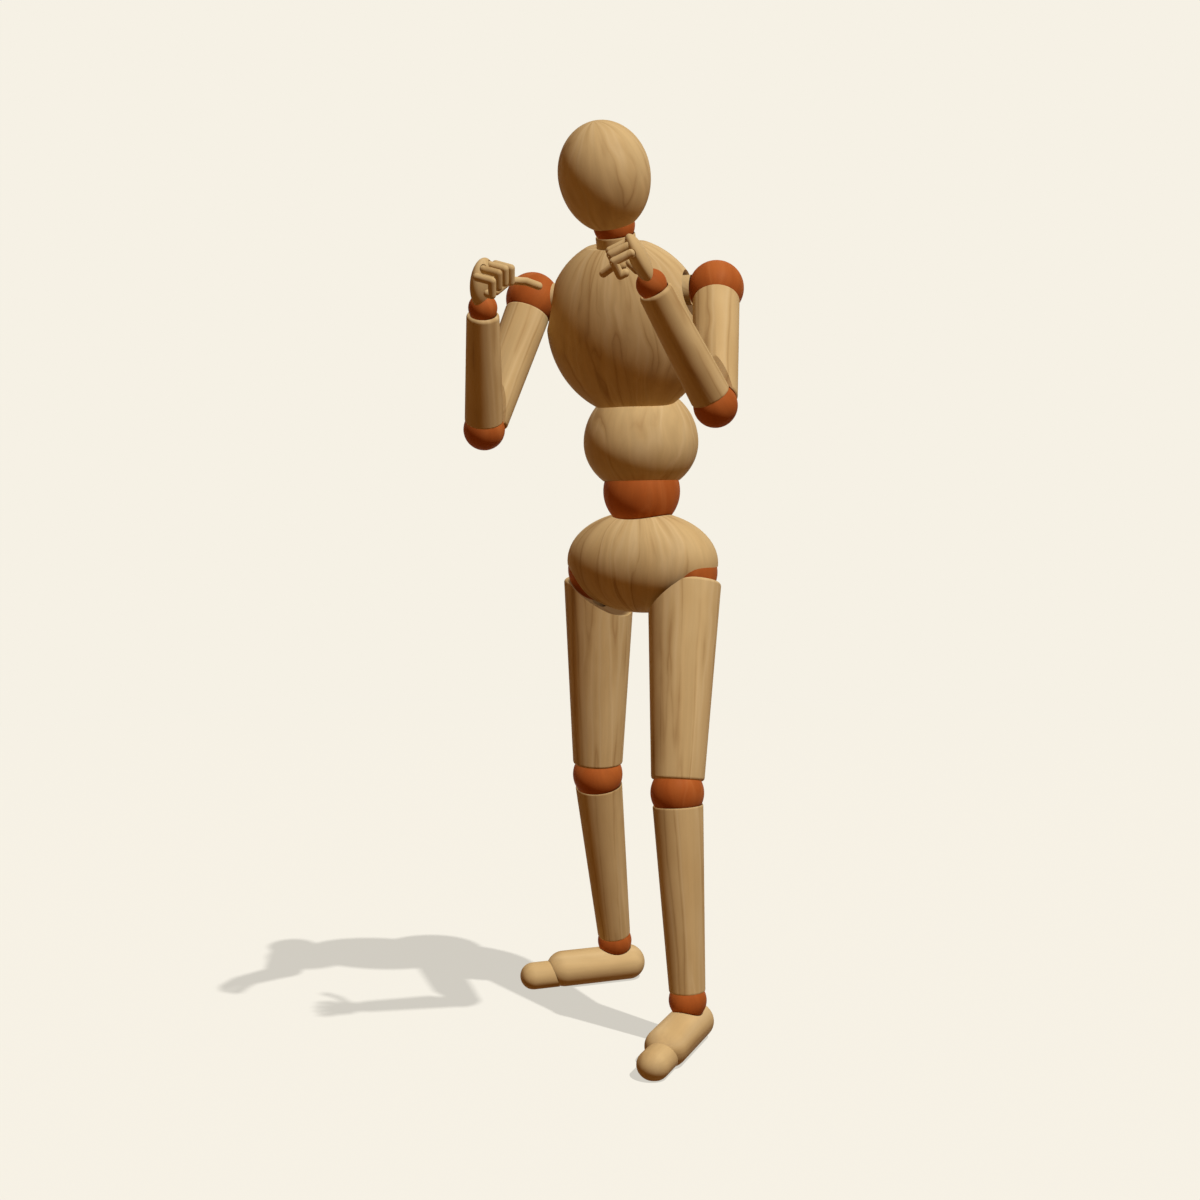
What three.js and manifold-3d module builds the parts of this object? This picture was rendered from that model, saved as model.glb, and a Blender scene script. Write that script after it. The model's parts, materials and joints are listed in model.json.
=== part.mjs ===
// Wooden artist mannequin, 300 mm tall, standing in a guard pose on its own two feet.
// Millimetres and degrees. +Z is up, the pelvis faces -Y and the figure's left is +X.
import * as THREE from "three";
import { mergeVertices } from "three/addons/utils/BufferGeometryUtils.js";
import Module from "manifold-3d";

const wasm = await Module();
wasm.setup();

// Torso and head sizes
const PELVIS_WIDTH = 55;
const PELVIS_DEPTH = 34;
const PELVIS_HEIGHT = 34.4;
const WAIST_BALL_RADIUS = 12.9;
const WAIST_ABOVE_PELVIS = 23.7;
const ABDOMEN_RADIUS = 19.2;
const ABDOMEN_LOWER_REACH = 17;
const ABDOMEN_ABOVE_WAIST = 16.2;
const CHEST_WIDTH = 53.2;
const CHEST_DEPTH = 34;
const CHEST_HEIGHT = 58.4;
const CHEST_TOP_REACH = 27;
const CHEST_ABOVE_ABDOMEN = 39.1;
const NECK_RADIUS = 6.3;
const NECK_LENGTH = 10;
const NECK_BALL_RADIUS = 6.6;
const NECK_BALL_ABOVE_CHEST = 33.4;
const NECK_TOP_BELOW_BALL = 2.6;
const HEAD_WIDTH = 28.6;
const HEAD_CROWN_REACH = 16.3;
const HEAD_CHIN_REACH = 17.6;
const HEAD_ABOVE_NECK_BALL = 15.6;

// Arm and hand sizes
const SHOULDER_SPAN = 61.2;
const SHOULDER_ABOVE_CHEST = 11.4;
const SHOULDER_BALL_RADIUS = 8.7;
const SHOULDER_POCKET_CLEARANCE = 2.8;
const STUB_RADIUS = 4.7;
const STUB_LENGTH = 13;
const UPPER_ARM_LENGTH = 48;
const UPPER_ARM_TOP_RADIUS = 7.3;
const UPPER_ARM_END_RADIUS = 6.6;
const ELBOW_BALL_RADIUS = 6.6;
const FOREARM_LENGTH = 42;
const FOREARM_TOP_RADIUS = 6.1;
const FOREARM_END_RADIUS = 5;
const WRIST_BALL_RADIUS = 4.4;
const PALM_THICKNESS = 5.4;
const PALM_WIDTH = 11.6;
const PALM_LENGTH = 15.4;
const PALM_BELOW_WRIST = 8.1;
const FINGER_RADIUS = 1.2;
const FINGER_PITCH = 3.6;
const FINGER_BASE_DEPTH = 1.3;
const FINGER_BASE_REACH = 13.4;
const OUTER_FINGER_DROP_LENGTH = 1.1;
const FINGER_BONES = [5.2, 4.3, 2.3];
const THUMB_RADIUS = 1.2;
const THUMB_BASE_DEPTH = 2.1;
const THUMB_BASE_WIDTH = 4.2;
const THUMB_BASE_REACH = 4.2;
const THUMB_BONES = [6, 5.1, 3.8];

// Leg and foot sizes
const HIP_SPAN = 33;
const HIP_DEPTH_BELOW_PELVIS = 3;
const HIP_BALL_RADIUS = 10.8;
const THIGH_LENGTH = 72.5;
const THIGH_TOP_RADIUS = 12.1;
const THIGH_TOP_BELOW_HIP = 3.3;
const THIGH_END_RADIUS = 8.7;
const KNEE_BALL_RADIUS = 8.7;
const SHIN_LENGTH = 67;
const SHIN_TOP_RADIUS = 8.2;
const SHIN_END_RADIUS = 5.9;
const ANKLE_BALL_RADIUS = 6.15;
const ANKLE_HEIGHT = 14;
const HEEL_BEHIND_ANKLE = 5;
const FOOT_RADIUS = 6.2;
const FOOT_WIDTH = 14;
const FOOT_AXIS_LENGTH = 24.5;
const TOE_RADIUS = 4.7;
const TOE_WIDTH = 10.6;
const TOE_AHEAD = 11.4;
const SOLE_FLAT_DEPTH = 0.7;

// Internal springs
const SPRING_WIRE_RADIUS = 0.35;
const SPRING_RADIUS = 1.6;
const SPRING_TURNS = 4;
const SPRING_BORE_RADIUS = 2.3;

// Fits
const BALL_CLEARANCE = 0.3;
const SEAT_CLEARANCE = 0.3;
const RIM_FRACTION = 0.46;
const RIM_ROUNDING = 1.4;
const SMALL_BALL_RADIUS = 3;
const ELBOW_CLOSED_DEGREES = 133;
const PELVIS_CLEARANCE = 0.5;

// Turns of the thigh, as swing and spread in degrees, at which its top still clears the pelvis
const THIGH_SWEEP = [[-20, 0], [0, 0], [20, 0], [40, 0], [0, 14]];

// Facets of the round shapes, as how many lie around and how many from pole to pole
const TORSO_FACETS = [20, 12];
const HEAD_FACETS = [20, 14];
const LARGE_BALL_FACETS = [16, 10];
const SMALL_BALL_FACETS = [12, 8];
const LARGE_SOCKET_FACETS = [12, 8];
const SMALL_SOCKET_FACETS = [6, 4];
const PALM_FACETS = [14, 10];
const LEG_SIDES = 18;
const ARM_SIDES = 16;
const NECK_SIDES = 14;
const STUB_SIDES = 12;
const BORE_SIDES = 8;

// Where the ankles stand, from the middle of the pelvis
const RIGHT_ANKLE_OUT = 23;
const RIGHT_ANKLE_BEHIND = 21.5;
const LEFT_ANKLE_OUT = 28.5;
const LEFT_ANKLE_AHEAD = 19.5;

// Pose: how far each joint is turned from a figure standing at attention
const STANDING_KNEE_DEGREES = 10.64;
const SPINE_POSE = { twist: 13.6, side: -1, lean: 22.1, neckTurn: 0, nod: 3, headTilt: -3.4 };
const ARM_POSE = {
  right: { swing: 46.7, raise: 12.2, twist: 6.3, elbow: 126.1, handTurn: -6.9, handBend: 0.4 },
  left: { swing: 58.9, raise: 7.1, twist: -16.7, elbow: 110.8, handTurn: -19.7, handBend: -2.2 },
};
const STANCE = {
  right: { x: -RIGHT_ANKLE_OUT, y: RIGHT_ANKLE_BEHIND, toeOut: 40 },
  left: { x: LEFT_ANKLE_OUT, y: -LEFT_ANKLE_AHEAD, toeOut: 8 },
};

const SIDE_SIGN = { right: -1, left: 1 };
const AXIS_X = new THREE.Vector3(1, 0, 0);
const AXIS_Y = new THREE.Vector3(0, 1, 0);
const AXIS_Z = new THREE.Vector3(0, 0, 1);
const radians = THREE.MathUtils.degToRad;

// Finishes
function finish(color, roughness, metalness) {
  return new THREE.MeshStandardMaterial({ color, roughness, metalness });
}

const naturalWood = () => finish(0xc8a268, 0.55, 0);
const stainedWood = () => finish(0x9a4a20, 0.45, 0);
const springSteel = () => finish(0xa9adb2, 0.35, 1);

// Solids and meshes
function solidOf(geometry) {
  const bare = geometry.index ? geometry.toNonIndexed() : geometry.clone();
  bare.deleteAttribute("normal");
  bare.deleteAttribute("uv");
  const merged = mergeVertices(bare, 1e-4);
  const corners = merged.index.array;
  const faces = [];
  for (let i = 0; i < corners.length; i += 3) {
    const [a, b, c] = [corners[i], corners[i + 1], corners[i + 2]];
    if (a !== b && b !== c && c !== a) faces.push(a, b, c);
  }
  const vertProperties = new Float32Array(merged.attributes.position.array);
  const mesh = new wasm.Mesh({ numProp: 3, vertProperties, triVerts: new Uint32Array(faces) });
  return new wasm.Manifold(mesh);
}

function meshOf(name, solid, material) {
  const made = solid.getMesh();
  const geometry = new THREE.BufferGeometry();
  geometry.setAttribute("position", new THREE.BufferAttribute(new Float32Array(made.vertProperties), 3));
  geometry.setIndex(new THREE.BufferAttribute(new Uint32Array(made.triVerts), 1));
  geometry.computeVertexNormals();
  const mesh = new THREE.Mesh(geometry, material);
  mesh.name = name;
  return mesh;
}

// A ball with its poles up and down
function ball(radius, [around, upward]) {
  return solidOf(new THREE.SphereGeometry(radius, around, upward).rotateX(Math.PI / 2));
}

// An ellipsoid whose upper and lower halves may reach different distances
function egg(halfWidth, halfDepth, upperReach, lowerReach, [around, upward]) {
  const geometry = new THREE.SphereGeometry(1, around, upward).rotateX(Math.PI / 2);
  const position = geometry.attributes.position;
  for (let i = 0; i < position.count; i++) {
    const z = position.getZ(i);
    const reach = z > 0 ? upperReach : lowerReach;
    position.setXYZ(i, position.getX(i) * halfWidth, position.getY(i) * halfDepth, z * reach);
  }
  return solidOf(geometry);
}

// The hollow that a ball turns in: every facet of it clears the ball
function socket(ballRadius, clearance, x, y, z) {
  const facets = ballRadius > SMALL_BALL_RADIUS ? LARGE_SOCKET_FACETS : SMALL_SOCKET_FACETS;
  const [around, upward] = facets;
  const facetAllowance = Math.cos(Math.PI / around) * Math.cos(Math.PI / (2 * upward));
  return ball((ballRadius + clearance) / facetAllowance, facets).translate([x, y, z]);
}

// A cylinder along Z between two heights
function rod(radius, bottom, top, around) {
  const geometry = new THREE.CylinderGeometry(radius, radius, top - bottom, around).rotateX(Math.PI / 2);
  return solidOf(geometry).translate([0, 0, (top + bottom) / 2]);
}

// A turned piece along Z with rounded rims
function turned(topRadius, endRadius, top, bottom, rounding, around) {
  const arcSteps = 2;
  const profile = [new THREE.Vector2(0, bottom)];
  for (let i = 0; i <= arcSteps; i++) {
    const a = (i / arcSteps) * (Math.PI / 2);
    const out = endRadius - rounding + rounding * Math.sin(a);
    profile.push(new THREE.Vector2(out, bottom + rounding - rounding * Math.cos(a)));
  }
  for (let i = 0; i <= arcSteps; i++) {
    const a = (i / arcSteps) * (Math.PI / 2);
    const out = topRadius - rounding + rounding * Math.cos(a);
    profile.push(new THREE.Vector2(out, top - rounding + rounding * Math.sin(a)));
  }
  profile.push(new THREE.Vector2(0, top));
  return solidOf(new THREE.LatheGeometry(profile, around).rotateX(Math.PI / 2));
}

// A large block whose face passes through a point and looks along a direction in the YZ plane
function halfSpace(y, z, faceDegrees) {
  const size = 100;
  const geometry = new THREE.BoxGeometry(size, size, size).translate(0, 0, size / 2);
  const turn = new THREE.Quaternion().setFromUnitVectors(
    AXIS_Z,
    new THREE.Vector3(0, Math.cos(radians(faceDegrees)), Math.sin(radians(faceDegrees))),
  );
  return solidOf(geometry.applyQuaternion(turn).translate(0, y, z));
}

// A chain of round-ended bones along the given points
function bones(points, radius) {
  let chain = null;
  for (let i = 0; i + 1 < points.length; i++) {
    const along = points[i + 1].clone().sub(points[i]);
    const turn = new THREE.Quaternion().setFromUnitVectors(AXIS_Y, along.clone().normalize());
    const middle = points[i].clone().add(points[i + 1]).multiplyScalar(0.5);
    const capsule = new THREE.CapsuleGeometry(radius, along.length(), 1, 6, 1);
    capsule.applyQuaternion(turn).translate(middle.x, middle.y, middle.z);
    const bone = solidOf(capsule);
    chain = chain ? chain.add(bone) : bone;
  }
  return chain;
}

// A coil spring along Z between two heights
class Helix extends THREE.Curve {
  constructor(bottom, top) {
    super();
    this.bottom = bottom;
    this.top = top;
  }
  getPoint(t, target = new THREE.Vector3()) {
    const a = t * SPRING_TURNS * Math.PI * 2;
    const z = this.bottom + (this.top - this.bottom) * t;
    return target.set(SPRING_RADIUS * Math.cos(a), SPRING_RADIUS * Math.sin(a), z);
  }
}

function spring(bottom, top) {
  const stepsPerTurn = 6;
  const wireSides = 3;
  const section = [];
  for (let i = 0; i < wireSides; i++) {
    const a = (i / wireSides) * Math.PI * 2;
    section.push(new THREE.Vector2(SPRING_WIRE_RADIUS * Math.cos(a), SPRING_WIRE_RADIUS * Math.sin(a)));
  }
  const inset = SPRING_WIRE_RADIUS;
  const geometry = new THREE.ExtrudeGeometry(new THREE.Shape(section), {
    steps: SPRING_TURNS * stepsPerTurn,
    extrudePath: new Helix(bottom + inset, top - inset),
  });
  return solidOf(geometry);
}

// A limb from the joint at its origin down to the joint at -length, with a socket for each ball
function limb({ length, topRadius, endRadius, topBall, endBall, around, drop = topBall * RIM_FRACTION }) {
  const top = -drop;
  const bottom = -length + endBall * RIM_FRACTION;
  return turned(topRadius, endRadius, top, bottom, RIM_ROUNDING, around)
    .subtract(socket(topBall, BALL_CLEARANCE, 0, 0, 0))
    .subtract(socket(endBall, BALL_CLEARANCE, 0, 0, -length))
    .subtract(rod(SPRING_BORE_RADIUS, -length, 0, BORE_SIDES));
}

function limbSpring(length, topBall, endBall) {
  return spring(-length + endBall + 2 * BALL_CLEARANCE, -topBall - 2 * BALL_CLEARANCE);
}

// A joint: a group at a place, turned about one axis
function joint(parent, name, x, y, z, axis, degrees) {
  const group = new THREE.Group();
  group.name = name;
  group.position.set(x, y, z);
  group.quaternion.setFromAxisAngle(axis, radians(degrees));
  group.userData.axis = axis.toArray();
  parent.add(group);
  return group;
}

// Pelvis: an ellipsoid with a seat for the waist ball and a pocket for each hip ball
function pelvisEgg(grow) {
  const height = PELVIS_HEIGHT / 2 + grow;
  return egg(PELVIS_WIDTH / 2 + grow, PELVIS_DEPTH / 2 + grow, height, height, TORSO_FACETS);
}

function pelvisSolid() {
  let solid = pelvisEgg(0).subtract(socket(WAIST_BALL_RADIUS, BALL_CLEARANCE, 0, 0, WAIST_ABOVE_PELVIS));
  for (const side of [-1, 1]) {
    const x = (side * HIP_SPAN) / 2;
    solid = solid.subtract(socket(HIP_BALL_RADIUS, BALL_CLEARANCE, x, 0, -HIP_DEPTH_BELOW_PELVIS));
  }
  const bore = rod(SPRING_BORE_RADIUS, -HIP_SPAN / 2, HIP_SPAN / 2, BORE_SIDES).rotate([0, 90, 0]);
  return solid.subtract(bore.translate([0, 0, -HIP_DEPTH_BELOW_PELVIS]));
}

function abdomenSolid() {
  return egg(ABDOMEN_RADIUS, ABDOMEN_RADIUS, ABDOMEN_RADIUS, ABDOMEN_LOWER_REACH, TORSO_FACETS)
    .subtract(socket(WAIST_BALL_RADIUS, BALL_CLEARANCE, 0, 0, -ABDOMEN_ABOVE_WAIST))
    .subtract(rod(SPRING_BORE_RADIUS, -ABDOMEN_LOWER_REACH, ABDOMEN_RADIUS, BORE_SIDES));
}

function chestSolid() {
  let solid = egg(CHEST_WIDTH / 2, CHEST_DEPTH / 2, CHEST_HEIGHT / 2, CHEST_HEIGHT / 2, TORSO_FACETS);
  solid = solid.subtract(socket(ABDOMEN_RADIUS, BALL_CLEARANCE, 0, 0, -CHEST_ABOVE_ABDOMEN));
  solid = solid.subtract(halfSpace(0, CHEST_TOP_REACH, 90)).subtract(neckHole());
  solid = solid.subtract(rod(SPRING_BORE_RADIUS, -CHEST_HEIGHT, CHEST_HEIGHT, BORE_SIDES));
  for (const side of [-1, 1]) {
    const x = (side * SHOULDER_SPAN) / 2;
    const pocket = socket(SHOULDER_BALL_RADIUS, SHOULDER_POCKET_CLEARANCE, x, 0, SHOULDER_ABOVE_CHEST);
    const stubEnd = stubInner() - SEAT_CLEARANCE;
    const stubHole = rod(STUB_RADIUS + SEAT_CLEARANCE, stubEnd, SHOULDER_SPAN / 2, STUB_SIDES)
      .rotate([0, 90 * side, 0])
      .translate([0, 0, SHOULDER_ABOVE_CHEST]);
    solid = solid.subtract(pocket).subtract(stubHole);
  }
  return solid;
}

// The neck runs from its seat in the chest up to the neck ball
function neckTop() {
  return NECK_BALL_ABOVE_CHEST - NECK_TOP_BELOW_BALL;
}

function neckBottom() {
  return neckTop() - NECK_LENGTH;
}

function neckHole() {
  return rod(NECK_RADIUS + SEAT_CLEARANCE, neckBottom() - SEAT_CLEARANCE, CHEST_HEIGHT, NECK_SIDES);
}

function neckSolid() {
  const rounding = 0.8;
  return turned(NECK_RADIUS, NECK_RADIUS, neckTop(), neckBottom(), rounding, NECK_SIDES)
    .translate([0, 0, -NECK_BALL_ABOVE_CHEST])
    .subtract(socket(NECK_BALL_RADIUS, BALL_CLEARANCE, 0, 0, 0))
    .subtract(rod(SPRING_BORE_RADIUS, -NECK_BALL_ABOVE_CHEST, 0, BORE_SIDES));
}

function headSolid() {
  return egg(HEAD_WIDTH / 2, HEAD_WIDTH / 2, HEAD_CROWN_REACH, HEAD_CHIN_REACH, HEAD_FACETS)
    .translate([0, 0, HEAD_ABOVE_NECK_BALL])
    .subtract(socket(NECK_BALL_RADIUS, BALL_CLEARANCE, 0, 0, 0));
}

// The shoulder stub lies along X, from its hole in the chest to the cup that holds the shoulder ball
function stubInner() {
  return SHOULDER_SPAN / 2 - SHOULDER_BALL_RADIUS * 0.8 - STUB_LENGTH;
}

function stubSolid(side) {
  const outer = SHOULDER_SPAN / 2;
  return rod(STUB_RADIUS, stubInner() - outer, 0, STUB_SIDES)
    .rotate([0, 90 * side, 0])
    .subtract(socket(SHOULDER_BALL_RADIUS, BALL_CLEARANCE, 0, 0, 0));
}

// The upper arm and the forearm are both cut back on the inner side of the elbow,
// so that the arm can fold
function upperArmSolid() {
  const fold = (180 - ELBOW_CLOSED_DEGREES) / 2;
  return limb({
    length: UPPER_ARM_LENGTH,
    topRadius: UPPER_ARM_TOP_RADIUS,
    endRadius: UPPER_ARM_END_RADIUS,
    topBall: SHOULDER_BALL_RADIUS,
    endBall: ELBOW_BALL_RADIUS,
    around: ARM_SIDES,
  }).subtract(halfSpace(0, -UPPER_ARM_LENGTH, 180 + fold));
}

function forearmSolid() {
  const fold = (180 - ELBOW_CLOSED_DEGREES) / 2;
  return limb({
    length: FOREARM_LENGTH,
    topRadius: FOREARM_TOP_RADIUS,
    endRadius: FOREARM_END_RADIUS,
    topBall: ELBOW_BALL_RADIUS,
    endBall: WRIST_BALL_RADIUS,
    around: ARM_SIDES,
  }).subtract(halfSpace(0, 0, 180 - fold));
}

// The top of the thigh is scooped out to pass under the pelvis as the leg swings
function thighSolid(side) {
  let solid = limb({
    length: THIGH_LENGTH,
    topRadius: THIGH_TOP_RADIUS,
    endRadius: THIGH_END_RADIUS,
    topBall: HIP_BALL_RADIUS,
    endBall: KNEE_BALL_RADIUS,
    around: LEG_SIDES,
    drop: THIGH_TOP_BELOW_HIP,
  });
  for (const [swing, spread] of THIGH_SWEEP) {
    const passing = pelvisEgg(PELVIS_CLEARANCE)
      .translate([(-side * HIP_SPAN) / 2, 0, HIP_DEPTH_BELOW_PELVIS])
      .rotate([swing, 0, 0])
      .rotate([0, side * spread, 0]);
    solid = solid.subtract(passing);
  }
  return solid;
}

function shinSolid() {
  return limb({
    length: SHIN_LENGTH,
    topRadius: SHIN_TOP_RADIUS,
    endRadius: SHIN_END_RADIUS,
    topBall: KNEE_BALL_RADIUS,
    endBall: ANKLE_BALL_RADIUS,
    around: LEG_SIDES,
  });
}

// The foot lies along Y under the ankle, with a flat sole
function footBody(grow) {
  const radius = FOOT_RADIUS + grow;
  const geometry = new THREE.CapsuleGeometry(radius, FOOT_AXIS_LENGTH, 3, 12, 1);
  geometry.scale((FOOT_WIDTH / 2 + grow) / radius, 1, 1);
  const middle = HEEL_BEHIND_ANKLE - FOOT_AXIS_LENGTH / 2;
  return solidOf(geometry.translate(0, middle, FOOT_RADIUS - SOLE_FLAT_DEPTH - ANKLE_HEIGHT));
}

function belowSole() {
  return halfSpace(0, -ANKLE_HEIGHT, -90);
}

function footSolid() {
  return footBody(0).subtract(belowSole()).subtract(socket(ANKLE_BALL_RADIUS, BALL_CLEARANCE, 0, 0, 0));
}

function toeSolid() {
  const front = HEEL_BEHIND_ANKLE - FOOT_AXIS_LENGTH;
  const geometry = new THREE.CapsuleGeometry(TOE_RADIUS, TOE_AHEAD, 3, 12, 1);
  geometry.scale(TOE_WIDTH / (2 * TOE_RADIUS), 1, 1);
  geometry.translate(0, front - TOE_AHEAD / 2, TOE_RADIUS - SOLE_FLAT_DEPTH - ANKLE_HEIGHT);
  return solidOf(geometry).subtract(footBody(SEAT_CLEARANCE)).subtract(belowSole());
}

// Hands: the palm hangs from the wrist along -Z, its inner face looks towards the body
// and its thumb edge looks forward
function fingerBases(side) {
  const bases = {};
  const names = ["index", "middle", "ring", "little"];
  names.forEach((name, i) => {
    const outer = i === 0 || i === names.length - 1;
    const across = (i - (names.length - 1) / 2) * FINGER_PITCH;
    const reach = FINGER_BASE_REACH - (outer ? OUTER_FINGER_DROP_LENGTH : 0);
    bases[name] = new THREE.Vector3(-side * FINGER_BASE_DEPTH, across, -reach);
  });
  bases.thumb = new THREE.Vector3(-side * THUMB_BASE_DEPTH, -THUMB_BASE_WIDTH, -THUMB_BASE_REACH);
  return bases;
}

function fingerSolid(side) {
  const inward = new THREE.Vector3(-side, 0, 0);
  const points = [new THREE.Vector3()];
  points.push(inward.clone().multiplyScalar(FINGER_BONES[0]));
  points.push(points[1].clone().addScaledVector(AXIS_Z, FINGER_BONES[1]));
  points.push(points[2].clone().addScaledVector(inward, -FINGER_BONES[2]));
  return bones(points, FINGER_RADIUS);
}

function thumbSolid(side) {
  const directions = [
    [-side * 0.26, -0.91, -0.32],
    [-side * 0.86, -0.5, 0.06],
    [-side * 0.93, -0.27, 0.24],
  ];
  const points = [new THREE.Vector3()];
  directions.forEach((direction, i) => {
    const step = new THREE.Vector3(...direction).setLength(THUMB_BONES[i]);
    points.push(points[i].clone().add(step));
  });
  return bones(points, THUMB_RADIUS);
}

function palmSolid(side) {
  let solid = egg(PALM_THICKNESS / 2, PALM_WIDTH / 2, PALM_LENGTH / 2, PALM_LENGTH / 2, PALM_FACETS)
    .translate([0, 0, -PALM_BELOW_WRIST])
    .subtract(socket(WRIST_BALL_RADIUS, BALL_CLEARANCE, 0, 0, 0));
  for (const [name, base] of Object.entries(fingerBases(side))) {
    const radius = name === "thumb" ? THUMB_RADIUS : FINGER_RADIUS;
    solid = solid.subtract(socket(radius, BALL_CLEARANCE, base.x, base.y, base.z));
  }
  return solid;
}

// The hips stand as high as both legs allow, each with its knee bent by at least the standing angle
function hipAboveFloor() {
  const bent = Math.cos(radians(STANDING_KNEE_DEGREES));
  const reachSquared = THIGH_LENGTH ** 2 + SHIN_LENGTH ** 2 + 2 * THIGH_LENGTH * SHIN_LENGTH * bent;
  const heights = Object.entries(STANCE).map(([sideName, stance]) => {
    const out = stance.x - (SIDE_SIGN[sideName] * HIP_SPAN) / 2;
    return Math.sqrt(reachSquared - out ** 2 - stance.y ** 2);
  });
  return ANKLE_HEIGHT + Math.min(...heights);
}

// Leg angles that put a flat foot on its place on the floor
function legAngles(side, stance) {
  const hip = new THREE.Vector3((side * HIP_SPAN) / 2, 0, hipAboveFloor());
  const reach = new THREE.Vector3(stance.x, stance.y, ANKLE_HEIGHT).sub(hip);
  const bend = reach.lengthSq() - THIGH_LENGTH ** 2 - SHIN_LENGTH ** 2;
  const knee = Math.acos(bend / (2 * THIGH_LENGTH * SHIN_LENGTH));
  const back = SHIN_LENGTH * Math.sin(knee);
  const down = THIGH_LENGTH + SHIN_LENGTH * Math.cos(knee);
  const outward = Math.asin(-reach.x / down);
  const swing = Math.atan2(back, down * Math.cos(outward)) - Math.atan2(reach.y, -reach.z);
  const shin = new THREE.Quaternion()
    .setFromAxisAngle(AXIS_X, -swing)
    .multiply(new THREE.Quaternion().setFromAxisAngle(AXIS_Y, outward))
    .multiply(new THREE.Quaternion().setFromAxisAngle(AXIS_X, knee));
  const level = new THREE.Quaternion().setFromAxisAngle(AXIS_Z, side * radians(stance.toeOut));
  const ankle = new THREE.Euler().setFromQuaternion(shin.invert().multiply(level), "ZXY");
  const degrees = THREE.MathUtils.radToDeg;
  return {
    swing: degrees(-swing),
    spread: degrees(outward),
    knee: degrees(knee),
    turn: degrees(ankle.z),
    pitch: degrees(ankle.x),
    roll: degrees(ankle.y),
  };
}

function addTorso(figure) {
  const pelvis = joint(figure, "pelvis_frame", 0, 0, hipAboveFloor() + HIP_DEPTH_BELOW_PELVIS, AXIS_Z, 0);
  pelvis.add(meshOf("pelvis", pelvisSolid(), naturalWood()));
  const waist = joint(pelvis, "waist_turn", 0, 0, WAIST_ABOVE_PELVIS, AXIS_Z, SPINE_POSE.twist);
  waist.add(meshOf("waist_ball", ball(WAIST_BALL_RADIUS, LARGE_BALL_FACETS), stainedWood()));
  const abdomen = joint(waist, "waist_side", 0, 0, 0, AXIS_Y, SPINE_POSE.side);
  const abdomenMesh = meshOf("abdomen", abdomenSolid(), naturalWood());
  abdomenMesh.position.z = ABDOMEN_ABOVE_WAIST;
  abdomen.add(abdomenMesh);
  const chest = joint(abdomen, "chest_lean", 0, 0, ABDOMEN_ABOVE_WAIST, AXIS_X, SPINE_POSE.lean);
  const chestMesh = meshOf("chest", chestSolid(), naturalWood());
  chestMesh.position.z = CHEST_ABOVE_ABDOMEN;
  chest.add(chestMesh);
  const neckHeight = CHEST_ABOVE_ABDOMEN + NECK_BALL_ABOVE_CHEST;
  const neck = joint(chest, "neck_turn", 0, 0, neckHeight, AXIS_Z, SPINE_POSE.neckTurn);
  neck.add(meshOf("neck", neckSolid(), naturalWood()));
  const nod = joint(neck, "head_nod", 0, 0, 0, AXIS_X, SPINE_POSE.nod);
  nod.add(meshOf("neck_ball", ball(NECK_BALL_RADIUS, SMALL_BALL_FACETS), stainedWood()));
  const tilt = joint(nod, "head_tilt", 0, 0, 0, AXIS_Y, SPINE_POSE.headTilt);
  tilt.add(meshOf("head", headSolid(), naturalWood()));
  return { pelvis, chest };
}

function addSprings({ pelvis, chest }) {
  const hipGap = HIP_SPAN / 2 - HIP_BALL_RADIUS - 2 * BALL_CLEARANCE;
  const hipSpring = meshOf("hip_spring", spring(-hipGap, hipGap).rotate([0, 90, 0]), springSteel());
  hipSpring.position.z = -HIP_DEPTH_BELOW_PELVIS;
  pelvis.add(hipSpring);
  const top = neckBottom() - 2 * SEAT_CLEARANCE;
  const bottom = ABDOMEN_RADIUS - CHEST_ABOVE_ABDOMEN + 2 * BALL_CLEARANCE;
  const chestSpring = meshOf("chest_spring", spring(bottom, top), springSteel());
  chestSpring.position.z = CHEST_ABOVE_ABDOMEN;
  chest.add(chestSpring);
}

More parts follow.
